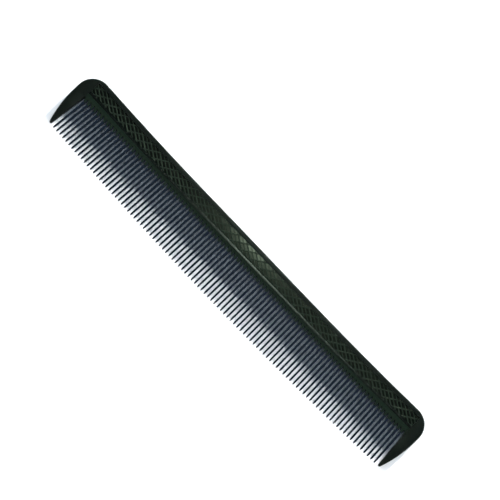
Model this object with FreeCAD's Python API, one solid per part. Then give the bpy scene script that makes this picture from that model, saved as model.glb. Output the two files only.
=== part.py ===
import FreeCAD, Part
import math
import os

# One-piece cutting comb, 7 inch class, lying flat.  Millimetres, +X along the comb, +Y towards
# the back edge, teeth towards -Y, +Z up.  While a piece is being made, Y = 0 is the middle of
# the back edge; export_piece moves it to the part's own frame, where the origin is the centre
# of the bottom of the comb's box.

# ---- Driving dimensions -------------------------------------------------------------------

# Row of teeth
tooth_count = 100
tooth_pitch = 1.70
tooth_root_width = 0.95
tooth_neck_width = 0.66
tooth_tip_width = 0.30
tooth_tip_thickness = 0.70
tooth_neck_thickness = 1.15
tooth_point_length = 1.20
tooth_corner = 0.16
middle_tooth_length = 18.15
end_tooth_length = 15.90
teeth_per_bank = 10

# Back of the comb, whose bands lie one below the other from the back edge to the root line
rail_width = 1.70
panel_height = 4.25
net_to_bead_gap = 0.15
bead_width = 1.00
root_band_height = 1.25
back_thickness = 4.00
back_edge_radius = 1.10
back_corner_radius = 7.30
back_end_rise = 1.05
back_straight_length = 60.0
web_thickness = 3.40
bead_flank_radius = 0.28

# Moulded diamond net on both faces
net_height = 0.15
net_line_width = 0.32
net_diamond_length = 4.67
net_diamond_height = 3.00
net_frame_width = 0.25

# Ramps that run out of every gap between two teeth, on both faces
ramp_to_bead_gap = 0.05
root_edge_thickness = 0.60

# Thick guard tooth at each end
guard_root_width = 5.05
guard_tip_width = 0.90
guard_inner_draft = 0.30
guard_length = 15.50
guard_flat_length = 5.50
guard_tip_thickness = 1.60
guard_tip_round = 0.35
guard_inner_round = 0.25
guard_stations = 7

# ---- Derived places -----------------------------------------------------------------------

middle_height = back_thickness / 2
row_half_length = (tooth_count - 1) * tooth_pitch / 2
gap_root_width = tooth_pitch - tooth_root_width
guard_inner_x = row_half_length + tooth_root_width / 2 + gap_root_width
half_length = guard_inner_x + guard_root_width
seam_x = row_half_length - tooth_pitch / 2
recess_end_x = guard_inner_x
back_straight_end = back_straight_length / 2
corner_centre_x = half_length - back_corner_radius
corner_centre_y = back_end_rise - back_corner_radius
panel_bottom_depth = rail_width + panel_height
bead_top_depth = panel_bottom_depth + net_to_bead_gap
bead_bottom_depth = bead_top_depth + bead_width
back_depth = bead_bottom_depth + root_band_height
root_ramp_length = root_band_height - ramp_to_bead_gap
web_bottom = (back_thickness - web_thickness) / 2
web_top = back_thickness - web_bottom

# The back edge is straight in the middle and rises to each corner on one large arc, which
# meets the corner's own arc at a common tangent.
flare_run = corner_centre_x - back_straight_end
flare_radius = (flare_run**2 + back_end_rise**2 - 2 * back_end_rise * back_corner_radius)
flare_radius = flare_radius / (2 * back_end_rise)

# The tips of the teeth lie on one arc through the end teeth and the middle of the row.
tip_line_rise = middle_tooth_length - end_tooth_length
tip_line_radius = (row_half_length**2 + tip_line_rise**2) / (2 * tip_line_rise)

box_top_y = back_end_rise
box_bottom_y = -(back_depth + middle_tooth_length)
frame_shift_y = -(box_top_y + box_bottom_y) / 2


# ---- Helpers ------------------------------------------------------------------------------

def point(x, y, z=0.0):
    return FreeCAD.Vector(x, y, z)


def line(start, end):
    return Part.LineSegment(start, end).toShape()


def arc(start, middle, end):
    return Part.Arc(start, middle, end).toShape()


def mirror_x(shape):
    return shape.mirror(point(0, 0, 0), point(1, 0, 0))


def mirror_in_middle_height(shape):
    return shape.mirror(point(0, 0, middle_height), point(0, 0, 1))


def solid_between(edges, bottom, top):
    """Closed outline in the XY plane, raised from one height to another."""
    face = Part.Face(Part.Wire(Part.__sortEdges__(edges)))
    face.translate(point(0, 0, bottom))
    return face.extrude(point(0, 0, top - bottom))


def flare_y(x, depth):
    """Height of the line that runs depth below the back edge."""
    run = max(0.0, abs(x) - back_straight_end)
    return flare_radius - math.sqrt((flare_radius + depth)**2 - run**2)


def back_line(depth, end_x):
    """Edges of the line depth below the back edge, from -end_x to end_x."""
    middle_x = (back_straight_end + end_x) / 2
    corners = [point(x, flare_y(x, depth)) for x in
               (-end_x, -middle_x, -back_straight_end, back_straight_end, middle_x, end_x)]
    left = arc(corners[0], corners[1], corners[2])
    middle = line(corners[2], corners[3])
    right = arc(corners[3], corners[4], corners[5])
    return [left, middle, right]


def back_strip(depth_above, depth_below, end_x, bottom, top):
    """Strip that follows the back edge between two depths."""
    upper = back_line(depth_above, end_x)
    lower = back_line(depth_below, end_x)
    right_side = line(point(end_x, flare_y(end_x, depth_above)),
                      point(end_x, flare_y(end_x, depth_below)))
    left_side = line(point(-end_x, flare_y(end_x, depth_below)),
                     point(-end_x, flare_y(end_x, depth_above)))
    return solid_between(upper + [right_side] + lower + [left_side], bottom, top)


def tooth_length(x):
    """Length of the tooth at x, from the root line to its tip."""
    sag = tip_line_radius - math.sqrt(tip_line_radius**2 - x**2)
    return middle_tooth_length - sag


# ---- Back ---------------------------------------------------------------------------------

def back_slab():
    """Whole back, from corner to corner and from the back edge to the root line."""
    run = corner_centre_x - back_straight_end
    share = flare_radius / (flare_radius + back_corner_radius)
    touch_x = back_straight_end + run * share
    touch_y = flare_radius + (corner_centre_y - flare_radius) * share
    turn = math.radians(45)
    corner_middle = point(corner_centre_x + back_corner_radius * math.sin(turn),
                          corner_centre_y + back_corner_radius * math.cos(turn))
    root_end = point(half_length, -back_depth)
    side_end = point(half_length, corner_centre_y)
    touch = point(touch_x, touch_y)
    flare_middle_x = (back_straight_end + touch_x) / 2
    flare_middle = point(flare_middle_x, flare_y(flare_middle_x, 0))
    straight_end = point(back_straight_end, 0)
    right = [line(root_end, side_end), arc(side_end, corner_middle, touch),
             arc(touch, flare_middle, straight_end)]
    left = [mirror_x(edge) for edge in right]
    top = line(point(-back_straight_end, 0), straight_end)
    root_line = line(point(-half_length, -back_depth), root_end)
    slab = solid_between(right + left + [top, root_line], 0, back_thickness)
    rims = []
    for edge in slab.Edges:
        heights = [vertex.Z for vertex in edge.Vertexes]
        on_root_line = all(abs(vertex.Y + back_depth) < 1e-6 for vertex in edge.Vertexes)
        level = max(heights) - min(heights) < 1e-6
        if level and not on_root_line:
            rims.append(edge)
    return slab.makeFillet(back_edge_radius, rims)


def back_rail(slab):
    """Smooth rounded rim along the back edge, between the two corner blocks."""
    reach = back_end_rise + back_edge_radius
    band = back_strip(rail_width, -reach, seam_x, 0, back_thickness)
    return slab.common(band)


def grip_web():
    """Flat plate under the grip net and the beads."""
    return back_strip(rail_width, bead_bottom_depth, seam_x, web_bottom, web_top)


def diamond_cell(x, y, bottom, top):
    """One cell between the lines of the net."""
    line_angle = math.atan2(net_diamond_height, net_diamond_length)
    half_x = net_diamond_length / 2 - net_line_width / 2 / math.sin(line_angle)
    half_y = net_diamond_height / 2 - net_line_width / 2 / math.cos(line_angle)
    ring = [point(x + half_x, y), point(x, y + half_y), point(x - half_x, y), point(x, y - half_y)]
    edges = [line(ring[i], ring[(i + 1) % 4]) for i in range(4)]
    return solid_between(edges, bottom, top)


def grip_net():
    """Raised diamond net on the upper face, inside a thin frame."""
    bottom = web_top
    top = web_top + net_height
    plate = back_strip(rail_width, panel_bottom_depth, recess_end_x, bottom, top)
    inside = back_strip(rail_width + net_frame_width, panel_bottom_depth - net_frame_width,
                        recess_end_x - net_frame_width, bottom, top)
    centre_y = -(rail_width + panel_bottom_depth) / 2
    columns = int(recess_end_x / (net_diamond_length / 2)) + 1
    rows = int((panel_bottom_depth + back_end_rise) / net_diamond_height) + 2
    cells = []
    for column in range(-columns, columns + 1):
        for row in range(-rows, rows + 1):
            if (column + row) % 2 == 0:
                x = column * net_diamond_length / 2
                y = centre_y + row * net_diamond_height / 2
                cells.append(diamond_cell(x, y, bottom, top))
    pockets = inside.common(Part.makeCompound(cells))
    return plate.cut(pockets)


def upper_bead():
    """Rounded bead on the upper face, as high as the rail."""
    strip = back_strip(bead_top_depth, bead_bottom_depth, recess_end_x, web_top, back_thickness)
    crests = []
    for edge in strip.Edges:
        at_top = all(abs(vertex.Z - back_thickness) < 1e-6 for vertex in edge.Vertexes)
        runs_along = abs(edge.Vertexes[0].X - edge.Vertexes[-1].X) > bead_width
        if at_top and runs_along:
            crests.append(edge)
    return strip.makeFillet(min(bead_flank_radius, 0.45 * bead_width), crests)


# ---- Roots of the teeth -------------------------------------------------------------------

def root_ramps():
    """Wedges cut out of both faces above every gap, so that the gap runs out on a slope."""
    edge_top = middle_height + root_edge_thickness / 2
    profile = [point(0, -back_depth, edge_top),
               point(0, -back_depth + root_ramp_length, web_top),
               point(0, -back_depth, web_top)]
    sides = [line(profile[i], profile[(i + 1) % 3]) for i in range(3)]
    triangle = Part.Face(Part.Wire(sides))
    wedge = triangle.extrude(point(gap_root_width, 0, 0))
    wedges = []
    for gap in range(tooth_count + 1):
        upper = wedge.copy()
        upper.translate(point((gap - tooth_count / 2) * tooth_pitch - gap_root_width / 2, 0, 0))
        wedges.append(upper)
        wedges.append(mirror_in_middle_height(upper))
    return Part.makeCompound(wedges)


def root_band(ramps):
    """Thinner band between the beads and the teeth, with a ramp above every gap."""
    upper = back_line(bead_bottom_depth, seam_x)
    bead_end_y = flare_y(seam_x, bead_bottom_depth)
    right_side = line(point(seam_x, bead_end_y), point(seam_x, -back_depth))
    lower = line(point(-seam_x, -back_depth), point(seam_x, -back_depth))
    left_side = line(point(-seam_x, -back_depth), point(-seam_x, bead_end_y))
    outline = upper + [right_side, lower, left_side]
    return solid_between(outline, web_bottom, web_top).cut(ramps)


def right_back_corner(slab, ramps):
    """Rounded corner of the back.  It carries the root of the last tooth and the recess's end."""
    reach = half_length - seam_x
    height = back_end_rise + back_depth
    block = Part.makeBox(reach, height, back_thickness, point(seam_x, -back_depth, 0))
    corner = slab.common(block)
    recess = back_strip(rail_width, bead_bottom_depth, recess_end_x, web_top, back_thickness)
    relief_top = flare_y(seam_x, bead_bottom_depth)
    relief = Part.makeBox(guard_inner_x - seam_x, relief_top + back_depth, web_bottom,
                          point(seam_x, -back_depth, web_top))
    for hollow in (recess, relief):
        corner = corner.cut(hollow).cut(mirror_in_middle_height(hollow))
    return corner.cut(ramps)


# ---- Teeth --------------------------------------------------------------------------------

def rounded_section(y, inner_x, outer_x, thickness, inner_round, outer_round):
    """Wire across a tooth at y, flat faces up and down and its four corners rounded."""
    high = middle_height + thickness / 2
    low = middle_height - thickness / 2
    slant = 1 - math.sqrt(0.5)
    corners = [(inner_x, low, 1, 1, inner_round), (outer_x, low, -1, 1, outer_round),
               (outer_x, high, -1, -1, outer_round), (inner_x, high, 1, -1, inner_round)]
    arcs = []
    for index, (x, z, to_x, to_z, radius) in enumerate(corners):
        beside = point(x, y, z + to_z * radius)
        middle = point(x + to_x * radius * slant, y, z + to_z * radius * slant)
        level = point(x + to_x * radius, y, z)
        ends = (beside, level) if index % 2 == 0 else (level, beside)
        arcs.append((ends[0], middle, ends[1]))
    edges = []
    for index, (start, middle, end) in enumerate(arcs):
        edges.append(arc(start, middle, end))
        edges.append(line(end, arcs[(index + 1) % 4][0]))
    return Part.Wire(edges)


def chamfered_section(y, width, thickness, corner):
    """Eight-sided wire across a fine tooth at y."""
    half_x = width / 2
    half_z = thickness / 2
    quarter = [(half_x, half_z - corner), (half_x - corner, half_z)]
    ring = quarter + [(-x, z) for x, z in reversed(quarter)]
    ring = ring + [(-x, -z) for x, z in ring]
    points = [point(x, y, middle_height + z) for x, z in ring]
    return Part.makePolygon(points + [points[0]])


def tooth(x):
    """One fine tooth: a long taper from the root line, then a short point."""
    tip_y = -(back_depth + tooth_length(x))
    small_corner = min(tooth_corner, 0.3 * tooth_tip_width, 0.3 * tooth_tip_thickness)
    root = chamfered_section(-back_depth, tooth_root_width, web_thickness, tooth_corner)
    neck = chamfered_section(tip_y + tooth_point_length, tooth_neck_width,
                             tooth_neck_thickness, tooth_corner)
    tip = chamfered_section(tip_y, tooth_tip_width, tooth_tip_thickness, small_corner)
    solid = Part.makeLoft([root, neck, tip], True, True)
    solid.translate(point(x, 0, 0))
    return solid


def tooth_bank(bank):
    """Ten neighbouring teeth, each a solid of its own."""
    first = bank * teeth_per_bank
    last = min(first + teeth_per_bank, tooth_count)
    places = [index * tooth_pitch - row_half_length for index in range(first, last)]
    return Part.makeCompound([tooth(x) for x in places])


def right_guard():
    """Thick end tooth: as thick as the back at first, then tapering to a narrow tip."""
    tip_inner_x = guard_inner_x + guard_inner_draft
    tip_outer_x = tip_inner_x + guard_tip_width
    narrowing = half_length - tip_outer_x
    side_radius = (narrowing**2 + guard_length**2) / (2 * narrowing)
    sections = []
    for station in range(guard_stations + 1):
        down = guard_length * station / guard_stations
        outer_x = half_length - side_radius + math.sqrt(side_radius**2 - down**2)
        inner_x = guard_inner_x + guard_inner_draft * down / guard_length
        taper = max(0.0, down - guard_flat_length) / (guard_length - guard_flat_length)
        thickness = back_thickness + (guard_tip_thickness - back_thickness) * taper
        outer_round = back_edge_radius + (guard_tip_round - back_edge_radius) * taper
        width = outer_x - inner_x
        outer_round = min(outer_round, 0.45 * width, 0.45 * thickness)
        inner_round = min(guard_inner_round, 0.45 * width, 0.45 * thickness)
        sections.append(rounded_section(-(back_depth + down), inner_x, outer_x, thickness,
                                        inner_round, outer_round))
    return Part.makeLoft(sections, True, True)


# ---- Export -------------------------------------------------------------------------------

def export_piece(name, shape):
    moved = shape.copy()
    moved.translate(point(0, frame_shift_y, 0))
    moved.exportStep(os.path.join("parts", name + ".step"))
    volume = sum(solid.Volume for solid in moved.Solids)
    print(name, len(moved.Solids), "solid(s)", round(volume, 2), "mm3", moved.isValid())


def main():
    os.makedirs("parts", exist_ok=True)
    slab = back_slab()
    ramps = root_ramps()
    corner = right_back_corner(slab, ramps)
    guard = right_guard()
    net = grip_net()
    bead = upper_bead()
    export_piece("back_rail", back_rail(slab))
    export_piece("grip_web", grip_web())
    export_piece("front_grip_net", net)
    export_piece("rear_grip_net", mirror_in_middle_height(net))
    export_piece("front_bead", bead)
    export_piece("rear_bead", mirror_in_middle_height(bead))
    export_piece("tooth_root_band", root_band(ramps))
    export_piece("right_back_corner", corner)
    export_piece("left_back_corner", mirror_x(corner))
    export_piece("right_end_guard", guard)
    export_piece("left_end_guard", mirror_x(guard))
    for bank in range(math.ceil(tooth_count / teeth_per_bank)):
        export_piece("tooth_bank_%02d" % (bank + 1), tooth_bank(bank))


main()
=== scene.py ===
# %% [markdown]
# # A cutting comb, dressed for the light
#
# The comb is one moulding of black resin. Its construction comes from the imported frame, and this
# lesson gives each region of the moulding its true surface: rounded rims, a raised diamond net,
# beads, saw-cut gap ends and softly rounded teeth. Every size is read from the frame, or is a
# named value in metres. While a piece is being made, Y = 0 is the middle of the back edge and
# Z = 0 is the middle of the comb's thickness, so that mirroring is simple. `settle` then moves
# the finished mesh to its place.

# %% Load the frame
import bmesh
import bpy
import math
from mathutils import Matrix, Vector


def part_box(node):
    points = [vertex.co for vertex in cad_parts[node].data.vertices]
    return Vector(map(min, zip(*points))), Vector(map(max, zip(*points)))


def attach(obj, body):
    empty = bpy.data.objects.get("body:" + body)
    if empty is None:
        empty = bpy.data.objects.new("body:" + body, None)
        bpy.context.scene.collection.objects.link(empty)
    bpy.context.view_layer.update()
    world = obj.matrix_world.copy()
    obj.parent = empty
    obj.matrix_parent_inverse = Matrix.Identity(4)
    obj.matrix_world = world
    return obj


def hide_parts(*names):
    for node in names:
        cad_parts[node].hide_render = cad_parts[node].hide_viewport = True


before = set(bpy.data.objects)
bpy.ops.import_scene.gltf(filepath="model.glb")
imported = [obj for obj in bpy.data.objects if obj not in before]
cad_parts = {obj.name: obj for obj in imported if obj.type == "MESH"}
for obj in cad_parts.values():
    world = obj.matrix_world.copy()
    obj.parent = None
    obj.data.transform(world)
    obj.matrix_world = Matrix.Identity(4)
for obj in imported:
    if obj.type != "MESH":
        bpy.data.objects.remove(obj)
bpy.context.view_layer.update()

# %% [markdown]
# ## Sizes
#
# The boxes of the CAD nodes give the places where the regions of the comb meet. Only what no box
# shows, such as a rounding, is written here. Places closer than TOUCH or NEAR count as the same
# place when something is picked, and points closer than WELD are joined.

# %% Sizes from the frame
MM = 0.001
TOUCH = 1e-7
NEAR = 1e-6
WELD = 0.002 * MM
CORNER_LOW, CORNER_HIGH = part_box("right_back_corner")
GUARD_LOW, GUARD_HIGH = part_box("right_end_guard")
RAIL_LOW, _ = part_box("back_rail")
WEB_LOW, WEB_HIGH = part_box("grip_web")
NET_LOW, NET_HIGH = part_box("front_grip_net")
BEAD_LOW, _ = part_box("front_bead")
BANK_LOW, BANK_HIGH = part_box("tooth_bank_05")
NEXT_BANK_LOW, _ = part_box("tooth_bank_06")
END_BANK_LOW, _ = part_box("tooth_bank_10")

RAIL_WIDTH = 1.70 * MM
RIM_RADIUS = 0.70 * MM
CORNER_RADIUS = 7.30 * MM
BEAD_WIDTH = 1.00 * MM
BACK_STRAIGHT_HALF = 30.0 * MM
RIM_SEGMENTS = 8
EDGE_SEGMENTS = 3
RECESS_DEPTH = 0.40 * MM

BACK_Y = RAIL_LOW.y + RAIL_WIDTH
HALF_THICKNESS = CORNER_HIGH.z / 2
WEB_HALF = (WEB_HIGH.z - WEB_LOW.z) / 2
SEAM_X = CORNER_LOW.x
HALF_LENGTH = CORNER_HIGH.x
CORNER_TOP = CORNER_HIGH.y - BACK_Y
ROOT_LINE = GUARD_HIGH.y - BACK_Y
GUARD_INNER_X = NET_HIGH.x
PANEL_BOTTOM = NET_LOW.y - BACK_Y
BEAD_BOTTOM = BEAD_LOW.y - BACK_Y
BEAD_TOP = BEAD_BOTTOM + BEAD_WIDTH
NET_HEIGHT = NET_HIGH.z - NET_LOW.z
PANEL_BED = WEB_HALF - RECESS_DEPTH

FLARE_RUN = HALF_LENGTH - CORNER_RADIUS - BACK_STRAIGHT_HALF
FLARE_RADIUS = (FLARE_RUN**2 + CORNER_TOP**2 - 2 * CORNER_TOP * CORNER_RADIUS) / (2 * CORNER_TOP)

TEETH_PER_BANK = 10
TOOTH_PITCH = (NEXT_BANK_LOW.x - BANK_LOW.x) / TEETH_PER_BANK
TOOTH_ROOT_WIDTH = BANK_HIGH.x - BANK_LOW.x - (TEETH_PER_BANK - 1) * TOOTH_PITCH
GAP_WIDTH = TOOTH_PITCH - TOOTH_ROOT_WIDTH
BANKS = sorted(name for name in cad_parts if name.startswith("tooth_bank_"))
TOOTH_COUNT = TEETH_PER_BANK * len(BANKS)
ROW_HALF = (TOOTH_COUNT - 1) * TOOTH_PITCH / 2
print("teeth:", TOOTH_COUNT, "pitch mm:", round(TOOTH_PITCH / MM, 3))

# %% [markdown]
# ## Small helpers for modelling by operator
#
# Operators act on what is selected. These helpers start a piece from a primitive, select faces,
# edges or vertices by their place, and settle a finished piece at the origin of the frame.

# %% Helpers
def deselect_all():
    """Leaves edit mode and clears the selection."""
    if bpy.context.object and bpy.context.object.mode != "OBJECT":
        bpy.ops.object.mode_set(mode="OBJECT")
    bpy.ops.object.select_all(action="DESELECT")


def select_only(*pieces):
    """Selects these pieces alone, and makes the first one active."""
    deselect_all()
    for piece in pieces:
        piece.select_set(True)
    bpy.context.view_layer.objects.active = pieces[0]


SQUARE_TO = {"X": (0, math.pi / 2, 0), "Y": (math.pi / 2, 0, 0)}


def stretch_between(low, high):
    """In edit mode, brings a unit square or cube to the box between two corners."""
    size = [high[i] - low[i] if high[i] != low[i] else 1 for i in range(3)]
    bpy.ops.transform.resize(value=size)
    bpy.ops.transform.translate(value=[(high[i] + low[i]) / 2 for i in range(3)])


def start_plane(name, low, high, normal):
    """A rectangle between two corners, square to the axis that normal names, left in edit mode."""
    deselect_all()
    bpy.ops.mesh.primitive_plane_add(size=1, rotation=SQUARE_TO[normal])
    piece = bpy.context.object
    piece.name = piece.data.name = name
    bpy.ops.object.transform_apply(location=True, rotation=True, scale=True)
    bpy.ops.object.mode_set(mode="EDIT")
    stretch_between(low, high)
    return piece


def start_box(name, low, high):
    """A box between two corners, left in edit mode."""
    deselect_all()
    bpy.ops.mesh.primitive_cube_add(size=1)
    piece = bpy.context.object
    piece.name = piece.data.name = name
    bpy.ops.object.mode_set(mode="EDIT")
    stretch_between(low, high)
    return piece


def pick(kind, test):
    """In edit mode, selects only the items of this kind whose place and normal pass the test.

    The kind is VERT, EDGE or FACE. An edge is tested by its middle and its direction.
    """
    mesh = bpy.context.object.data
    bpy.ops.mesh.select_mode(type=kind)
    bpy.ops.mesh.select_all(action="DESELECT")
    shape = bmesh.from_edit_mesh(mesh)
    chosen = 0
    for item in {"VERT": shape.verts, "EDGE": shape.edges, "FACE": shape.faces}[kind]:
        if kind == "VERT":
            place, normal = item.co, item.normal
        elif kind == "EDGE":
            place = (item.verts[0].co + item.verts[1].co) / 2
            normal = (item.verts[1].co - item.verts[0].co).normalized()
        else:
            place, normal = item.calc_center_median(), item.normal
        if test(place, normal):
            item.select_set(True)
            chosen += 1
    shape.select_flush_mode()
    bmesh.update_edit_mesh(mesh)
    return chosen


def use_modifier(piece, kind, **settings):
    """Adds a modifier with these settings and applies it."""
    select_only(piece)
    modifier = piece.modifiers.new(kind.lower(), kind)
    for name, value in settings.items():
        setattr(modifier, name, value)
    bpy.ops.object.modifier_apply(modifier=modifier.name)


def edit_all(piece):
    """Opens a piece in edit mode with all of it selected."""
    select_only(piece)
    bpy.ops.object.mode_set(mode="EDIT")
    bpy.ops.mesh.select_all(action="SELECT")


def clean(piece):
    """Welds doubled vertices and turns every face outwards."""
    edit_all(piece)
    bpy.ops.mesh.remove_doubles(threshold=WELD)
    bpy.ops.mesh.normals_make_consistent(inside=False)
    bpy.ops.object.mode_set(mode="OBJECT")


def copy_of(piece, name):
    """A copy with its own mesh."""
    twin = piece.copy()
    twin.data = piece.data.copy()
    twin.name = twin.data.name = name
    bpy.context.scene.collection.objects.link(twin)
    return twin


def flip(piece, name, axis):
    """A mirrored copy, turned the right way out again."""
    twin = copy_of(piece, name)
    select_only(twin)
    twin.scale[axis] = -1
    bpy.ops.object.transform_apply(location=True, rotation=True, scale=True)
    clean(twin)
    return twin


def open_edges(piece):
    """How many edges don't join exactly two faces, which is 0 on a closed piece."""
    shape = bmesh.new()
    shape.from_mesh(piece.data)
    count = sum(1 for edge in shape.edges if not edge.is_manifold)
    shape.free()
    return count


def settle(piece, material, slot, *nodes, smooth=38):
    """Moves a finished piece to its place in the frame, and gives it body, node and finish."""
    select_only(piece)
    piece.location = (0, BACK_Y, HALF_THICKNESS)
    bpy.ops.object.transform_apply(location=True, rotation=True, scale=True)
    bpy.ops.object.shade_smooth_by_angle(angle=math.radians(smooth))
    piece.data.materials.clear()
    piece.data.materials.append(material)
    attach(piece, "root")
    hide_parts(*nodes)
    print(piece.name, "faces:", len(piece.data.polygons), "open edges:", open_edges(piece))


# %% [markdown]
# ## Black resin
#
# The comb is moulded in black resin, which is hardly ever a pure black: the back is warm and
# slightly green, and the teeth are painted a cooler black, a painted reflection of the bluish
# surroundings. A shared group puts out a slow mottle and a fine grain from Object coordinates.
# Each material mixes its own two blacks with the mottle, and uses the grain for roughness and
# for a very low bump. The flanks of the net's ridges are painted paler, a painted sheen for the
# light they catch, which makes its lines readable.
# The first helpers make the nodes that the resins, the floor and the surroundings share.

# %% Helpers for nodes
def feed(tree, socket, value):
    """Gives an input a link, where the value is an output, or else the value itself."""
    if isinstance(value, bpy.types.NodeSocket):
        tree.links.new(value, socket)
    else:
        socket.default_value = value


def calculate(tree, operation, *values):
    """A Math node on these values. Gives its output."""
    node = tree.nodes.new("ShaderNodeMath")
    node.operation = operation
    for socket, value in zip(node.inputs, values):
        feed(tree, socket, value)
    return node.outputs[0]


def map_range(tree, value, start, end, low, high, interpolation="LINEAR"):
    """A Map Range node that carries start..end to low..high. Gives its output."""
    node = tree.nodes.new("ShaderNodeMapRange")
    node.interpolation_type = interpolation
    names = ("Value", "From Min", "From Max", "To Min", "To Max")
    for name, setting in zip(names, (value, start, end, low, high)):
        feed(tree, node.inputs[name], setting)
    return node.outputs["Result"]


def mix_colours(tree, share, one, other):
    """A Mix node for two colours. Gives its output."""
    node = tree.nodes.new("ShaderNodeMix")
    node.data_type = "RGBA"
    share_in, one_in, other_in = node.inputs[0], node.inputs[6], node.inputs[7]
    feed(tree, share_in, share)
    feed(tree, one_in, one)
    feed(tree, other_in, other)
    return node.outputs[2]


# %% Resin surface group
MOTTLE_SCALE = 300.0
GRAIN_SCALE = 4000.0
MOTTLE_DETAIL = 3.0
GRAIN_DETAIL = 2.0


def resin_surface_group():
    """A node group that puts out a slow mottle and a fine grain."""
    group = bpy.data.node_groups.new("resin_surface", "ShaderNodeTree")
    sockets = group.interface
    for name, value in (("Mottle Scale", MOTTLE_SCALE), ("Grain Scale", GRAIN_SCALE)):
        socket = sockets.new_socket(name=name, in_out="INPUT", socket_type="NodeSocketFloat")
        socket.default_value = value
    sockets.new_socket(name="Mottle", in_out="OUTPUT", socket_type="NodeSocketFloat")
    sockets.new_socket(name="Grain", in_out="OUTPUT", socket_type="NodeSocketFloat")
    nodes, links = group.nodes, group.links
    inputs = nodes.new("NodeGroupInput")
    outputs = nodes.new("NodeGroupOutput")
    place = nodes.new("ShaderNodeTexCoord")
    for name, detail in (("Mottle", MOTTLE_DETAIL), ("Grain", GRAIN_DETAIL)):
        noise = nodes.new("ShaderNodeTexNoise")
        noise.inputs["Detail"].default_value = detail
        links.new(place.outputs["Object"], noise.inputs["Vector"])
        links.new(inputs.outputs[name + " Scale"], noise.inputs["Scale"])
        links.new(noise.outputs["Fac"], outputs.inputs[name])
    return group


RESIN_SURFACE = resin_surface_group()


# %% Resin materials
GRAIN_BUMP = 0.05
GRAIN_DEPTH = 0.02 * MM
FLANK_STARTS, FLANK_FULL = math.radians(8), math.radians(14)
GREEN_GLOSS = (0.80, 1.0, 0.82)
YELLOW_GLOSS = (0.77, 1.0, 0.70)
COOL_GLOSS = (0.85, 0.97, 1.0)


def resin(name, dark, light, roughness, tint, flank=None):
    """Black resin: two near blacks mixed by the mottle, with a grain in roughness and bump.

    Where flank is given, faces that lean by more than about ten degrees from level wear that
    colour, a painted sheen that stands in for the light such flanks catch.
    """
    material = bpy.data.materials.new(name)
    material.use_nodes = True
    tree = material.node_tree
    shader = tree.nodes["Principled BSDF"]
    surface = tree.nodes.new("ShaderNodeGroup")
    surface.node_tree = RESIN_SURFACE
    surface.inputs["Mottle Scale"].default_value = MOTTLE_SCALE
    surface.inputs["Grain Scale"].default_value = GRAIN_SCALE
    mottle, grain = surface.outputs["Mottle"], surface.outputs["Grain"]
    colour = mix_colours(tree, mottle, (*dark, 1), (*light, 1))
    # Painted sheen: leaning faces get the flank colour, which stands in for the light the slopes
    # catch.
    if flank:
        place = tree.nodes.new("ShaderNodeTexCoord")
        facing = tree.nodes.new("ShaderNodeSeparateXYZ")
        tree.links.new(place.outputs["Normal"], facing.inputs["Vector"])
        level = calculate(tree, "ABSOLUTE", facing.outputs["Z"])
        leaning = map_range(tree, level, math.cos(FLANK_FULL), math.cos(FLANK_STARTS), 1.0, 0.0)
        colour = mix_colours(tree, leaning, colour, (*flank, 1))
    tree.links.new(colour, shader.inputs["Base Color"])
    tree.links.new(map_range(tree, grain, 0.0, 1.0, *roughness), shader.inputs["Roughness"])
    relief = tree.nodes.new("ShaderNodeBump")
    relief.inputs["Strength"].default_value = GRAIN_BUMP
    relief.inputs["Distance"].default_value = GRAIN_DEPTH
    tree.links.new(grain, relief.inputs["Height"])
    tree.links.new(relief.outputs["Normal"], shader.inputs["Normal"])
    shader.inputs["Specular Tint"].default_value = (*tint, 1)
    return material


BACK_BLACKS = (0.0007, 0.0013, 0.0012), (0.0015, 0.0024, 0.0020)
GRIP_BLACKS = (0.0001, 0.0003, 0.0002), (0.0005, 0.0010, 0.0007)
BAND_BLACKS = (0.0030, 0.0070, 0.0042), (0.0060, 0.0120, 0.0075)
# The teeth's bluer black is a painted reflection of the bluish surroundings.
TOOTH_BLACKS_PAINTED_COOL = (0.0022, 0.0048, 0.0095), (0.0045, 0.0085, 0.0150)
# Painted sheen for the net's flanks: paler where the slopes would catch light.
PAINTED_FLANK_SHEEN = (0.0108, 0.0162, 0.0116)
BACK_RESIN = resin("back_resin", *BACK_BLACKS, (0.40, 0.46), GREEN_GLOSS)
BEAD_RESIN = resin("bead_resin", *BACK_BLACKS, (0.20, 0.26), GREEN_GLOSS)
GRIP_RESIN = resin("grip_resin", *GRIP_BLACKS, (0.18, 0.23), YELLOW_GLOSS, flank=PAINTED_FLANK_SHEEN)
BAND_RESIN = resin("band_resin", *BAND_BLACKS, (0.26, 0.32), GREEN_GLOSS)
TOOTH_RESIN = resin("tooth_resin", *TOOTH_BLACKS_PAINTED_COOL, (0.24, 0.32), COOL_GLOSS)

# %% [markdown]
# ## The rim, the web and the beads
#
# All three follow the back edge, which is straight in the middle and sweeps up to the corners on
# one very large arc. So each is modelled as by hand: the section is drawn as a small plane and
# shaped, extruded along the straight part, spun about the centre of the arc, cut off at its end
# and mirrored to the other half. The web is thinner where it carries the net, and the bead's
# section is a low dome.

# %% Sweep along the back
FLARE_STEPS = 16
OVERRUN = 1.03


def flare_rise(x):
    """How far the back edge has risen at x."""
    run = max(0.0, abs(x) - BACK_STRAIGHT_HALF)
    return FLARE_RADIUS - math.sqrt(FLARE_RADIUS**2 - run**2)


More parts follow.
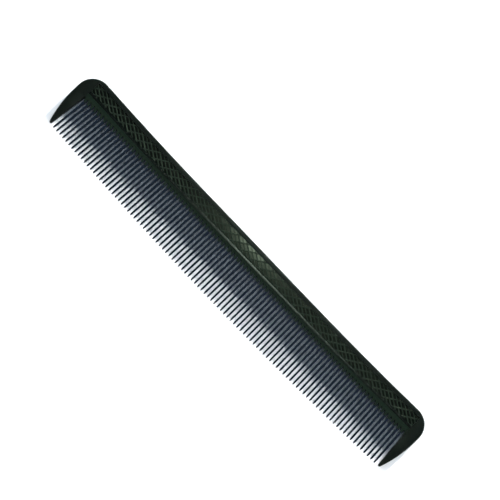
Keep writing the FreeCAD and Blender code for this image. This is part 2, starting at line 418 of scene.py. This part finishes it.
def sweep_along_back(piece, end_x):
    """Carries a section, drawn at x = 0 and still in edit mode, along the back both ways.

    The spin runs a little past end_x, where the sweep is then cut off square.
    """
    bpy.ops.mesh.select_all(action="SELECT")
    bpy.ops.mesh.extrude_region_move(TRANSFORM_OT_translate={"value": (BACK_STRAIGHT_HALF, 0, 0)})
    turn = math.asin((end_x - BACK_STRAIGHT_HALF) / FLARE_RADIUS) * OVERRUN
    bpy.ops.mesh.spin(steps=FLARE_STEPS, angle=-turn, axis=(0, 0, 1),
                      center=(BACK_STRAIGHT_HALF, FLARE_RADIUS, 0))
    bpy.ops.mesh.select_all(action="SELECT")
    bpy.ops.mesh.bisect(plane_co=(end_x, 0, 0), plane_no=(1, 0, 0), use_fill=True,
                        clear_outer=True)
    pick("FACE", lambda place, normal: abs(place.x) < TOUCH)
    bpy.ops.mesh.delete(type="FACE")
    bpy.ops.object.mode_set(mode="OBJECT")
    use_modifier(piece, "MIRROR", use_axis=(True, False, False), merge_threshold=NEAR)
    clean(piece)


# %% The rim along the back edge
RAIL_INNER_ROUND = 0.10 * MM
rail = start_plane("rounded_back_rail", (0, -RAIL_WIDTH, -HALF_THICKNESS), (0, 0, HALF_THICKNESS),
                   normal="X")
pick("VERT", lambda place, normal: place.y > -TOUCH)
bpy.ops.mesh.bevel(offset=RIM_RADIUS, segments=RIM_SEGMENTS, affect="VERTICES")
pick("VERT", lambda place, normal: place.y < -RAIL_WIDTH + TOUCH)
bpy.ops.mesh.bevel(offset=RAIL_INNER_ROUND, segments=EDGE_SEGMENTS, affect="VERTICES")
sweep_along_back(rail, SEAM_X)
settle(rail, BACK_RESIN, "back_resin", "back_rail")

# %% The web, thinner where it carries the net
web = start_plane("grip_plate", (0, BEAD_BOTTOM - 2 * CORNER_TOP, -WEB_HALF),
                  (0, PANEL_BOTTOM, WEB_HALF), normal="X")
pick("EDGE", lambda place, along: place.y > PANEL_BOTTOM - TOUCH)
bpy.ops.mesh.extrude_region_move()
bpy.ops.transform.resize(value=(1, 1, PANEL_BED / WEB_HALF), center_override=(0, 0, 0))
bpy.ops.mesh.extrude_region_move(
    TRANSFORM_OT_translate={"value": (0, -RAIL_WIDTH - PANEL_BOTTOM, 0)})
sweep_along_back(web, SEAM_X)
edit_all(web)
bpy.ops.mesh.bisect(plane_co=(0, BEAD_BOTTOM, 0), plane_no=(0, 1, 0), use_fill=True,
                    clear_inner=True)
bpy.ops.object.mode_set(mode="OBJECT")
settle(web, GRIP_RESIN, "grip_resin", "grip_web")

# %% The beads
BEAD_DOME = 5.0 * MM
BEAD_STEPS = 6
BEAD_EDGE_ROUND = 0.10 * MM
CREST_SHARE = 0.15
bead_crest = BEAD_BOTTOM + CREST_SHARE * BEAD_WIDTH
front_bead = start_plane("front_bead_line", (0, BEAD_BOTTOM, PANEL_BED),
                         (0, BEAD_TOP, HALF_THICKNESS), normal="X")
pick("EDGE", lambda place, along: place.z > HALF_THICKNESS - TOUCH)
bpy.ops.mesh.subdivide(number_cuts=BEAD_STEPS - 1)
for step in range(BEAD_STEPS + 1):
    y = BEAD_BOTTOM + BEAD_WIDTH * step / BEAD_STEPS
    pick("VERT", lambda place, normal: abs(place.y - y) < NEAR and place.z > WEB_HALF)
    bpy.ops.transform.translate(value=(0, 0, -(y - bead_crest) ** 2 / (2 * BEAD_DOME)))
pick("VERT", lambda place, normal: place.y > BEAD_TOP - TOUCH and place.z > WEB_HALF)
bpy.ops.mesh.bevel(offset=BEAD_EDGE_ROUND, segments=EDGE_SEGMENTS, affect="VERTICES")
sweep_along_back(front_bead, GUARD_INNER_X)
rear_bead = flip(front_bead, "rear_bead_line", 2)
settle(front_bead, BEAD_RESIN, "back_resin", "front_bead")
settle(rear_bead, BEAD_RESIN, "back_resin", "rear_bead")

# %% [markdown]
# ## The diamond net
#
# The net is a low relief on both faces, for grip: two families of ridges cross at equal angles,
# and a finer ridge runs midway between those of one family. One diamond is modelled from a
# square that stands on its corner: its rim is inset, which leaves half a ridge all round, the
# middle is divided by a narrow strip, which is the fine ridge, and the two halves left are
# inset again and sunk. Copies side by side make the field, and a Boolean trims it to the panel.
# Proportional editing then lowers the side along the rail, which gives the net a slight crown.

# %% One diamond of the net
DIAMOND_LENGTH = 4.67 * MM
DIAMOND_HEIGHT = 3.00 * MM
RIDGE_TOP = 0.08 * MM
RIDGE_DIP = 0.02 * MM
FINE_RIDGE_TOP = 0.05 * MM
RIDGE_SLOPE = 0.16 * MM
POCKET_DEPTH = 0.065 * MM
net_middle = (PANEL_BOTTOM - RAIL_WIDTH) / 2

deselect_all()
bpy.ops.mesh.primitive_plane_add(size=math.sqrt(2), rotation=(0, 0, math.pi / 4))
front_net = bpy.context.object
front_net.name = front_net.data.name = "front_diamond_net"
bpy.ops.object.transform_apply(location=True, rotation=True, scale=True)
bpy.ops.object.mode_set(mode="EDIT")
bpy.ops.transform.resize(value=(DIAMOND_LENGTH / 2, DIAMOND_HEIGHT / 2, 1))
bpy.ops.mesh.inset(thickness=RIDGE_TOP, depth=-RIDGE_DIP)
pick("EDGE", lambda place, along: place.x * place.y < 0 and place.length < DIAMOND_HEIGHT / 2
     and abs(place.z + RIDGE_DIP) < TOUCH)
bpy.ops.mesh.subdivide(number_cuts=1)
pick("EDGE", lambda place, along: abs(place.x) < TOUCH and abs(place.y) < TOUCH)
bpy.ops.mesh.bevel(offset=FINE_RIDGE_TOP, segments=1, affect="EDGES")
half_from, half_to = 0.1 * DIAMOND_LENGTH, 0.2 * DIAMOND_LENGTH
pick("FACE", lambda place, normal: half_from < abs(place.x) < half_to
     and abs(place.z + RIDGE_DIP) < TOUCH)
bpy.ops.mesh.inset(thickness=RIDGE_SLOPE, depth=RIDGE_DIP - POCKET_DEPTH, use_individual=True)
bpy.ops.object.mode_set(mode="OBJECT")
print("one diamond:", len(front_net.data.polygons), "faces")

# %% The field of diamonds, trimmed to the panel
NET_WELD = 0.005 * MM
NET_BLOCK = 5 * NET_HEIGHT
columns = 2 * math.ceil(GUARD_INNER_X / DIAMOND_LENGTH) + 1
rows = 2 * math.ceil((CORNER_TOP + RAIL_WIDTH) / DIAMOND_HEIGHT) + 1
for count, step in ((2, (DIAMOND_LENGTH / 2, DIAMOND_HEIGHT / 2, 0)),
                    (columns, (DIAMOND_LENGTH, 0, 0)), (rows, (0, DIAMOND_HEIGHT, 0))):
    use_modifier(front_net, "ARRAY", count=count, use_relative_offset=False,
                 use_constant_offset=True, constant_offset_displace=step)
edit_all(front_net)
bpy.ops.mesh.remove_doubles(threshold=NET_WELD)
bpy.ops.transform.translate(value=(-(columns // 2) * DIAMOND_LENGTH,
                                   net_middle - (rows // 2) * DIAMOND_HEIGHT,
                                   WEB_HALF + NET_HEIGHT))
bpy.ops.mesh.extrude_region_move(TRANSFORM_OT_translate={"value": (0, 0, -NET_BLOCK)})
bpy.ops.transform.resize(value=(1, 1, 0))
bpy.ops.object.mode_set(mode="OBJECT")
clean(front_net)

panel = start_plane("panel_outline", (0, PANEL_BOTTOM, PANEL_BED),
                    (0, -RAIL_WIDTH, HALF_THICKNESS + MM), normal="X")
sweep_along_back(panel, GUARD_INNER_X)
use_modifier(front_net, "BOOLEAN", operation="INTERSECT", solver="EXACT", object=panel)
bpy.data.objects.remove(panel)
clean(front_net)

# %% The crown of the net
NET_CROWN = 0.15 * MM
RAIL_SIDE = 0.03 * MM
select_only(front_net)
bpy.ops.object.mode_set(mode="EDIT")
chosen = pick("VERT", lambda place, normal:
              abs(place.y + RAIL_WIDTH - flare_rise(place.x)) < RAIL_SIDE)
print("vertices along the rail:", chosen)
bpy.ops.transform.translate(value=(0, 0, -NET_CROWN), use_proportional_edit=True,
                            proportional_edit_falloff="SHARP",
                            proportional_size=-RAIL_WIDTH - PANEL_BOTTOM)
bpy.ops.object.mode_set(mode="OBJECT")
rear_net = flip(front_net, "rear_diamond_net", 2)
settle(front_net, GRIP_RESIN, "grip_resin", "front_grip_net", smooth=4)
settle(rear_net, GRIP_RESIN, "grip_resin", "rear_grip_net", smooth=4)

# %% [markdown]
# ## Where the gaps run out
#
# The gaps are cut into the blank from the tooth side. A gap doesn't end square: it curves to one
# side as it closes, so that it ends in a small hook. One cell of the band, from the middle of
# one tooth to the middle of the next, is shaped from a grid with the gap's faces left out, and
# its open edges are drawn down to the middle plane. The cell is mirrored to the rear face, and
# an Array sets one beside the other. The band falls away from the bead to the teeth, and its
# upper edge is hidden under the bead.

# %% One cell of the root band
GAP_EDGE_ROUND = 0.20 * MM
HOOK_LENGTH = 1.60 * MM
HOOK_RISE = 0.50 * MM
HOOK_REACH = 0.35 * MM
HOOK_ROWS = (0.0, 0.45, 0.78, 0.95, 1.0)
GAP_EDGE_DROP = 0.7
BAND_STEP = 0.08 * MM
BAND_TUCK = 0.9 * BEAD_WIDTH
TOOTH_ROOT_HALF = WEB_HALF - BAND_STEP
TOOTH_NECK_WIDTH = 0.66 * MM
TOOTH_NECK_THICKNESS = 1.15 * MM
TOOTH_POINT_LENGTH = 1.20 * MM
MIDDLE_TOOTH_LENGTH = ROOT_LINE + BACK_Y - BANK_LOW.y
TOOTH_NECK = MIDDLE_TOOTH_LENGTH - TOOTH_POINT_LENGTH
TOOTH_FALL = (TOOTH_ROOT_HALF - TOOTH_NECK_THICKNESS / 2) / TOOTH_NECK
BAND_LAP = 0.015 * MM
GAP_COUNT = TOOTH_COUNT + 1
BAND_TOP = HALF_THICKNESS - BAND_STEP


def band_height(y):
    """Height of the band's face: it falls away from the bead, then follows the teeth."""
    if y < ROOT_LINE:
        return TOOTH_ROOT_HALF + BAND_LAP - (ROOT_LINE - y) * TOOTH_FALL
    share = (y - ROOT_LINE) / (BEAD_BOTTOM - ROOT_LINE)
    return TOOTH_ROOT_HALF + BAND_LAP + (BAND_TOP - TOOTH_ROOT_HALF - BAND_LAP) * share


CELL_ROWS = []
for share in HOOK_ROWS:
    y = ROOT_LINE + HOOK_RISE - HOOK_LENGTH * (1 - share)
    CELL_ROWS.append((y, share, band_height(y)))
CELL_ROWS += [(BEAD_BOTTOM, None, BAND_TOP),
              (BEAD_BOTTOM + BAND_TUCK, None, BAND_TOP - BAND_LAP)]


def cell_point(column, row):
    """Place of one grid point of the cell: columns 0 to 5 from left to right, rows from below."""
    y, share, top = CELL_ROWS[row]
    bend = share if share is not None else 1
    left = -GAP_WIDTH / 2 - HOOK_REACH * bend**2
    right = left + GAP_WIDTH * math.sqrt(1 - bend**2)
    edge = GAP_EDGE_ROUND * (1 - bend / 2)
    if share is None:
        left, right, edge = left - edge / 2, right + edge / 2, edge / 2
    x = (-TOOTH_PITCH / 2, left - edge, left, right, right + edge, TOOTH_PITCH / 2)[column]
    return x, y, top - (GAP_EDGE_DROP * edge if column in (2, 3) and share is not None else 0)


deselect_all()
columns, rows = 5, len(CELL_ROWS) - 1
bpy.ops.mesh.primitive_grid_add(x_subdivisions=columns, y_subdivisions=rows, size=1)
root_band = bpy.context.object
root_band.name = root_band.data.name = "saw_cut_root_band"
bpy.ops.object.mode_set(mode="EDIT")
bpy.ops.transform.resize(value=(columns, rows, 1))
bpy.ops.transform.translate(value=(columns / 2, rows / 2, 0))
pick("FACE", lambda place, normal: 2 < place.x < 3 and place.y < len(HOOK_ROWS) - 1)
bpy.ops.mesh.delete(type="FACE")
STILL_WHOLE, STILL_FLAT = 0.01, 1e-9
for column in range(columns + 1):
    for row in range(rows + 1):
        x, y, z = cell_point(column, row)
        pick("VERT", lambda place, normal: abs(place.x - column) < STILL_WHOLE
             and abs(place.y - row) < STILL_WHOLE and abs(place.z) < STILL_FLAT)
        bpy.ops.transform.translate(value=(x - column, y - row, z))
bpy.ops.mesh.select_mode(type="EDGE")
bpy.ops.mesh.select_all(action="DESELECT")
bpy.ops.mesh.select_non_manifold()
bpy.ops.mesh.extrude_region_move()
bpy.ops.transform.resize(value=(1, 1, 0), center_override=(0, 0, 0))
pick("FACE", lambda place, normal: abs(place.x) > TOOTH_PITCH / 2 - TOUCH)
bpy.ops.mesh.delete(type="FACE")
bpy.ops.object.mode_set(mode="OBJECT")

# %% The whole root band
clean(root_band)
use_modifier(root_band, "MIRROR", use_axis=(False, False, True), merge_threshold=NEAR)
edit_all(root_band)
bpy.ops.transform.translate(value=(-(GAP_COUNT - 1) * TOOTH_PITCH / 2, 0, 0))
bpy.ops.object.mode_set(mode="OBJECT")
clean(root_band)
use_modifier(root_band, "ARRAY", count=GAP_COUNT, use_relative_offset=False,
             use_constant_offset=True, constant_offset_displace=(TOOTH_PITCH, 0, 0),
             use_merge_vertices=True, merge_threshold=WELD)
bpy.ops.object.mode_set(mode="EDIT")
for side in (-1, 1):
    bpy.ops.mesh.select_all(action="SELECT")
    bpy.ops.mesh.bisect(plane_co=(side * (GUARD_INNER_X + BAND_LAP), 0, 0), plane_no=(side, 0, 0),
                        use_fill=True, clear_outer=True, threshold=NEAR)
bpy.ops.object.mode_set(mode="OBJECT")
clean(root_band)
settle(root_band, BAND_RESIN, "tooth_resin", "tooth_root_band")

# %% [markdown]
# ## The rounded corners of the back
#
# Each corner is a block whose upright edge is bevelled with the corner's radius, and whose rims
# are then bevelled with the same radius as the rail's rim, so that the two run into each other.
# Box cutters then make room for the ends of the net and the bead on both faces, and for the
# last gap.

# %% Right corner
CORNER_SEGMENTS = 20
SPARE = 2 * MM
UPRIGHT = 0.9
corner = start_box("right_rounded_corner", (SEAM_X - SPARE, ROOT_LINE, -HALF_THICKNESS),
                   (HALF_LENGTH, CORNER_TOP, HALF_THICKNESS))
pick("EDGE", lambda place, along: abs(along.z) > UPRIGHT and place.x > SEAM_X and place.y > 0)
bpy.ops.mesh.bevel(offset=CORNER_RADIUS, segments=CORNER_SEGMENTS, affect="EDGES")
pick("EDGE", lambda place, along: abs(abs(place.z) - HALF_THICKNESS) < TOUCH
     and place.x > SEAM_X - SPARE + NEAR and place.y > ROOT_LINE + NEAR)
bpy.ops.mesh.bevel(offset=RIM_RADIUS, segments=RIM_SEGMENTS, affect="EDGES")
bpy.ops.mesh.select_all(action="SELECT")
bpy.ops.mesh.bisect(plane_co=(SEAM_X, 0, 0), plane_no=(1, 0, 0), use_fill=True, clear_inner=True)
bpy.ops.object.mode_set(mode="OBJECT")


def cut_away(piece, low, high, far_rise=0.0, level_floor=True):
    """Takes a box out of a piece. The end away from the middle is lifted by far_rise."""
    cutter = start_box("cutter", low, high)
    pick("VERT", lambda place, normal: place.x > (low[0] + high[0]) / 2
         and (place.y > low[1] + NEAR or not level_floor))
    bpy.ops.transform.translate(value=(0, far_rise, 0))
    bpy.ops.object.mode_set(mode="OBJECT")
    use_modifier(piece, "BOOLEAN", operation="DIFFERENCE", solver="EXACT", object=cutter)
    bpy.data.objects.remove(cutter)


recess_top = flare_rise(SEAM_X) - RAIL_WIDTH
recess_slope = flare_rise(GUARD_INNER_X) - flare_rise(SEAM_X)
panel_floor = flare_rise(SEAM_X) + PANEL_BOTTOM
before, below, beyond = SEAM_X - MM, ROOT_LINE - MM, HALF_THICKNESS + MM
for side in (1, -1):
    low_z, high_z = sorted((side * WEB_HALF, side * beyond))
    cut_away(corner, (before, below, low_z), (GUARD_INNER_X, recess_top, high_z), recess_slope)
    low_z, high_z = sorted((side * PANEL_BED, side * beyond))
    cut_away(corner, (before, panel_floor, low_z), (GUARD_INNER_X, recess_top, high_z),
             recess_slope, level_floor=False)
cut_away(corner, (before, below, -beyond), (GUARD_INNER_X, BEAD_BOTTOM, beyond))
clean(corner)
left_corner = flip(corner, "left_rounded_corner", 0)
settle(corner, BACK_RESIN, "back_resin", "right_back_corner")
settle(left_corner, BACK_RESIN, "back_resin", "left_back_corner")

# %% [markdown]
# ## The guard teeth
#
# A thick guard closes the row at each end and keeps the fine teeth off the skin. Its section,
# with a rim like the back's on the outside, is drawn once and extruded step by step. Each step
# is made narrower and thinner, along an arc on the outside, while the inside leans outwards with
# the fan of the teeth.

# %% Right guard
GUARD_LENGTH = GUARD_HIGH.y - GUARD_LOW.y
GUARD_TIP_WIDTH = 0.90 * MM
GUARD_DRAFT = 1.60 * MM
GUARD_FLAT_LENGTH = 5.50 * MM
GUARD_TIP_THICKNESS = 1.60 * MM
GUARD_INNER_ROUND = 0.25 * MM
GUARD_STEPS = 16
GUARD_TIP_ROUND = 0.45 * MM
GUARD_TIP_SHARES = (0.5, 0.8, 0.95, 1.0)
GUARD_TIP_CLOSING = 0.75
guard_narrowing = HALF_LENGTH - GUARD_INNER_X - GUARD_DRAFT - GUARD_TIP_WIDTH
guard_arc = (guard_narrowing**2 + GUARD_LENGTH**2) / (2 * guard_narrowing)


def guard_section(down):
    """Inner x, outer x and thickness of the guard at a length down from the root line."""
    outer = HALF_LENGTH - guard_arc + math.sqrt(guard_arc**2 - down**2)
    inner = GUARD_INNER_X + GUARD_DRAFT * down / GUARD_LENGTH
    taper = max(0.0, down - GUARD_FLAT_LENGTH) / (GUARD_LENGTH - GUARD_FLAT_LENGTH)
    thickness = 2 * HALF_THICKNESS + (GUARD_TIP_THICKNESS - 2 * HALF_THICKNESS) * taper
    into_tip = max(0.0, down - GUARD_LENGTH + GUARD_TIP_ROUND) / GUARD_TIP_ROUND
    shrink = 1 - GUARD_TIP_CLOSING * (1 - math.sqrt(max(0.0, 1 - into_tip**2)))
    middle, half = (inner + outer) / 2, (outer - inner) / 2 * shrink
    return middle - half, middle + half, thickness * shrink


def extrude_section(step, old, new):
    """Extrudes the selected end down by a step, from one (inner, outer, thickness) to the next."""
    bpy.ops.mesh.extrude_region_move(TRANSFORM_OT_translate={"value": (
        (new[0] + new[1] - old[0] - old[1]) / 2, -step, 0)})
    bpy.ops.transform.resize(value=((new[1] - new[0]) / (old[1] - old[0]), 1, new[2] / old[2]))


guard = start_plane("right_guard_tooth", (GUARD_INNER_X, ROOT_LINE, -HALF_THICKNESS),
                    (HALF_LENGTH, ROOT_LINE, HALF_THICKNESS), normal="Y")
pick("VERT", lambda place, normal: place.x > HALF_LENGTH - MM)
bpy.ops.mesh.bevel(offset=RIM_RADIUS, segments=RIM_SEGMENTS, affect="VERTICES")
pick("VERT", lambda place, normal: place.x < GUARD_INNER_X + TOUCH)
bpy.ops.mesh.bevel(offset=GUARD_INNER_ROUND, segments=EDGE_SEGMENTS, affect="VERTICES")
bpy.ops.mesh.select_all(action="SELECT")
straight_length = GUARD_LENGTH - GUARD_TIP_ROUND
stations = [straight_length * i / GUARD_STEPS for i in range(GUARD_STEPS + 1)]
stations += [straight_length + GUARD_TIP_ROUND * share for share in GUARD_TIP_SHARES]
for above, below in zip(stations, stations[1:]):
    extrude_section(below - above, guard_section(above), guard_section(below))
bpy.ops.object.mode_set(mode="OBJECT")
clean(guard)
left_guard = flip(guard, "left_guard_tooth", 0)
settle(guard, BACK_RESIN, "back_resin", "right_end_guard")
settle(left_guard, BACK_RESIN, "back_resin", "left_end_guard")

# %% [markdown]
# ## The fine teeth
#
# The hundred teeth are alike, apart from their length and their lean: the row's tips lie on a
# shallow arc, and the teeth fan outwards a little, most of all at the ends. One tooth is
# modelled from its root section by extruding it to a neck and then over a rounded point. Copies
# are stretched to their own length, leaned over and joined, ten to a bank.

# %% One tooth
POINT_SHARES = (0.45, 0.75, 0.93, 1.0)
POINT_CLOSING = 0.72
tooth = start_plane("one_tooth", (-TOOTH_ROOT_WIDTH / 2, 0, -TOOTH_ROOT_HALF),
                    (TOOTH_ROOT_WIDTH / 2, 0, TOOTH_ROOT_HALF), normal="Y")
bpy.ops.mesh.bevel(offset=GAP_EDGE_ROUND, segments=EDGE_SEGMENTS, affect="VERTICES")
bpy.ops.mesh.select_all(action="SELECT")


def tooth_section(down):
    """Left x, right x and thickness of the tooth at a length down from the root."""
    share = min(1.0, down / TOOTH_NECK)
    width = TOOTH_ROOT_WIDTH + (TOOTH_NECK_WIDTH - TOOTH_ROOT_WIDTH) * share
    thickness = 2 * (TOOTH_ROOT_HALF - TOOTH_FALL * TOOTH_NECK * share)
    into_point = max(0.0, down - TOOTH_NECK) / TOOTH_POINT_LENGTH
    shrink = 1 - POINT_CLOSING * (1 - math.sqrt(max(0.0, 1 - into_point**2)))
    return -width / 2 * shrink, width / 2 * shrink, thickness * shrink


stations = [0, TOOTH_NECK / 2, TOOTH_NECK]
stations += [TOOTH_NECK + TOOTH_POINT_LENGTH * share for share in POINT_SHARES]
for above, below in zip(stations, stations[1:]):
    extrude_section(below - above, tooth_section(above), tooth_section(below))
bpy.ops.object.mode_set(mode="OBJECT")
clean(tooth)
print("one tooth:", len(tooth.data.polygons), "faces")

# %% Banks of ten
TIP_SAG = END_BANK_LOW.y - BANK_LOW.y
TIP_SAG_X = END_BANK_LOW.x + TOOTH_ROOT_WIDTH / 2
TIP_LINE_RADIUS = (TIP_SAG_X**2 + TIP_SAG**2) / (2 * TIP_SAG)
FAN_LEAN = 0.078


def tooth_length(x):
    """Length of the tooth at x: the tips lie on one arc."""
    return MIDDLE_TOOTH_LENGTH - TIP_LINE_RADIUS + math.sqrt(TIP_LINE_RADIUS**2 - x**2)


def tooth_bank(name, places):
    """Copies of the tooth at these places along the row, joined into one piece."""
    copies = []
    for x in places:
        twin = copy_of(tooth, name)
        lean = FAN_LEAN * x / ROW_HALF
        twin.location = (x - lean * (HOOK_LENGTH - HOOK_RISE) / 2, ROOT_LINE, 0)
        twin.rotation_euler = (0, 0, lean)
        twin.scale = (1, tooth_length(x) / MIDDLE_TOOTH_LENGTH, 1)
        copies.append(twin)
    select_only(*copies)
    bpy.ops.object.transform_apply(location=True, rotation=True, scale=True)
    bpy.ops.object.join()
    bank = bpy.context.object
    bank.name = bank.data.name = name
    return bank


for number, node in enumerate(BANKS):
    first = number * TEETH_PER_BANK
    places = [i * TOOTH_PITCH - ROW_HALF for i in range(first, first + TEETH_PER_BANK)]
    settle(tooth_bank("fine_teeth_%02d" % (number + 1), places), TOOTH_RESIN, "tooth_resin", node)
bpy.data.objects.remove(tooth)

# %% [markdown]
# ## Floor, light and camera
#
# The comb lies on a plain white floor. The key light stands low behind the back, so that the
# back's shadow reaches into the gaps, and about where the lines of the fanned teeth meet, so
# that it shines along every gap. A broad cool fill hangs overhead, and two side lights keep the
# floor beyond the tips pale. Three small lamps are seen only in gloss: one gives the glint in
# the middle of the net, and two strips draw the line along the bead. The surroundings are white
# for the camera and near the horizon, and overhead they are dim, least so on the tooth side.
# Is Glossy Ray and Is Transmission Ray let gloss see them, and Is Diffuse Ray gives a little
# plain light from all round. The camera looks down from slightly on the tooth side, through a
# long lens, so that the gaps show equally well at both ends.

# %% Floor
FLOOR_SIZE = 6.0
FLOOR_DROP = 0.01 * MM
FLOOR_WHITE = (0.97, 0.97, 0.97, 1)
FLOOR_GLOW = 0.02
FLOOR_GLOW_COLOUR = (0.80, 0.97, 1.20, 1)
deselect_all()
bpy.ops.mesh.primitive_plane_add(size=FLOOR_SIZE, location=(0, 0, -FLOOR_DROP))
floor = bpy.context.object
floor.name = "floor"
floor_paper = bpy.data.materials.new("floor_paper")
floor_paper.use_nodes = True
tree = floor_paper.node_tree
paper = tree.nodes["Principled BSDF"]
paper.inputs["Base Color"].default_value = FLOOR_WHITE
paper.inputs["Roughness"].default_value = 1.0
paper.inputs["Specular IOR Level"].default_value = 0.0
paper.inputs["Emission Color"].default_value = FLOOR_GLOW_COLOUR
rays = tree.nodes.new("ShaderNodeLightPath").outputs
seen = calculate(tree, "MAXIMUM", rays["Is Camera Ray"], rays["Is Glossy Ray"])
seen = calculate(tree, "MAXIMUM", seen, rays["Is Transmission Ray"])
tree.links.new(calculate(tree, "MULTIPLY", seen, FLOOR_GLOW), paper.inputs["Emission Strength"])
floor.data.materials.append(floor_paper)

# %% Lights
def soft_light(name, place, aim, size, power, colour=(1, 1, 1)):
    """A rectangular soft light that shines from a place towards an aim. Power is in watts."""
    deselect_all()
    bpy.ops.object.light_add(type="AREA", location=place)
    lamp = bpy.context.object
    lamp.name = name
    lamp.data.shape = "RECTANGLE"
    lamp.data.size, lamp.data.size_y = size
    lamp.data.energy = power
    lamp.data.color = colour
    direction = [a - p for a, p in zip(aim, place)]
    lamp.rotation_euler = Vector(direction).to_track_quat("-Z", "Y").to_euler()
    return lamp


MIDDLE = (0, 0, 0)
SKY_BLUE = (0.72, 0.87, 1.0)
GLINT_AIM = (-0.002, 0.0105, 0.004)
BEAD_MIDDLE, BEAD_RIGHT = (0, 0.0066, 0.004), (0.030, 0.0066, 0.004)
glint = soft_light("glint_light", (-0.0066, 0.047, 0.154), GLINT_AIM, (0.015, 0.015), 0.0105)
strip = soft_light("strip_light", (-0.0115, 0.159, 0.354), BEAD_MIDDLE, (0.03, 0.02), 0.082)
faint_strip = soft_light("faint_strip_light", (0.030, 0.159, 0.354), BEAD_RIGHT, (0.044, 0.02),
                         0.100)
for lamp in (glint, strip, faint_strip):
    lamp.visible_diffuse = False
key = soft_light("key_light", (0, 1.05, 0.37), MIDDLE, (0.083, 0.098), 27.0)
fill = soft_light("fill_light", (0, 0.80, 2.00), MIDDLE, (2.00, 1.60), 22.0, SKY_BLUE)
left_side = soft_light("left_side_light", (-1.60, -0.30, 0.90), MIDDLE, (0.80, 0.80), 30.0)
right_side = soft_light("right_side_light", (1.60, -0.30, 0.90), MIDDLE, (0.80, 0.80), 30.0)
for lamp in (key, fill, left_side, right_side):
    lamp.visible_glossy = False

# %% Surroundings
WORLD_STRENGTH = 0.12
HORIZON_BOTTOM, HORIZON_TOP = 0.02, 0.12
TOOTH_SIDE, BACK_SIDE = -0.5, 0.12
OVERHEAD_FRONT, OVERHEAD_BACK = 2 * WORLD_STRENGTH, 0.4 * WORLD_STRENGTH
WHITE, COOL_WHITE = (1, 1, 1, 1), (0.86, 0.93, 1.0, 1)
world = bpy.data.worlds.new("studio")
bpy.context.scene.world = world
world.use_nodes = True
tree = world.node_tree
background = tree.nodes["Background"]
rays = tree.nodes.new("ShaderNodeLightPath").outputs
direction = tree.nodes.new("ShaderNodeTexCoord")
height = tree.nodes.new("ShaderNodeSeparateXYZ")
tree.links.new(direction.outputs["Generated"], height.inputs["Vector"])
overhead = map_range(tree, height.outputs["Y"], TOOTH_SIDE, BACK_SIDE,
                     OVERHEAD_FRONT, OVERHEAD_BACK)
backdrop = map_range(tree, height.outputs["Z"], HORIZON_BOTTOM, HORIZON_TOP, 1.0, overhead,
                     interpolation="SMOOTHSTEP")
mirrored = calculate(tree, "MAXIMUM", rays["Is Glossy Ray"], rays["Is Transmission Ray"])
mirrored = calculate(tree, "MULTIPLY", mirrored, backdrop)
ambient = calculate(tree, "MULTIPLY", rays["Is Diffuse Ray"], WORLD_STRENGTH)
strength = calculate(tree, "MAXIMUM", rays["Is Camera Ray"], mirrored)
tree.links.new(calculate(tree, "MAXIMUM", strength, ambient), background.inputs["Strength"])
tree.links.new(mix_colours(tree, rays["Is Camera Ray"], COOL_WHITE, WHITE),
               background.inputs["Color"])

# %% Camera
CAMERA_PLACE = (26.4 * MM, -86.2 * MM, 955.6 * MM)
CAMERA_TURN = (5.225, -2.958, 46.189)
camera_data = bpy.data.cameras.new("camera")
camera = bpy.data.objects.new("camera", camera_data)
bpy.context.scene.collection.objects.link(camera)
camera.location = CAMERA_PLACE
camera.rotation_euler = [math.radians(angle) for angle in CAMERA_TURN]
camera_data.sensor_width = 36.0
camera_data.lens = 187.2
camera_data.clip_start = 0.01
bpy.context.scene.camera = camera
bpy.context.scene.view_settings.view_transform = "Standard"
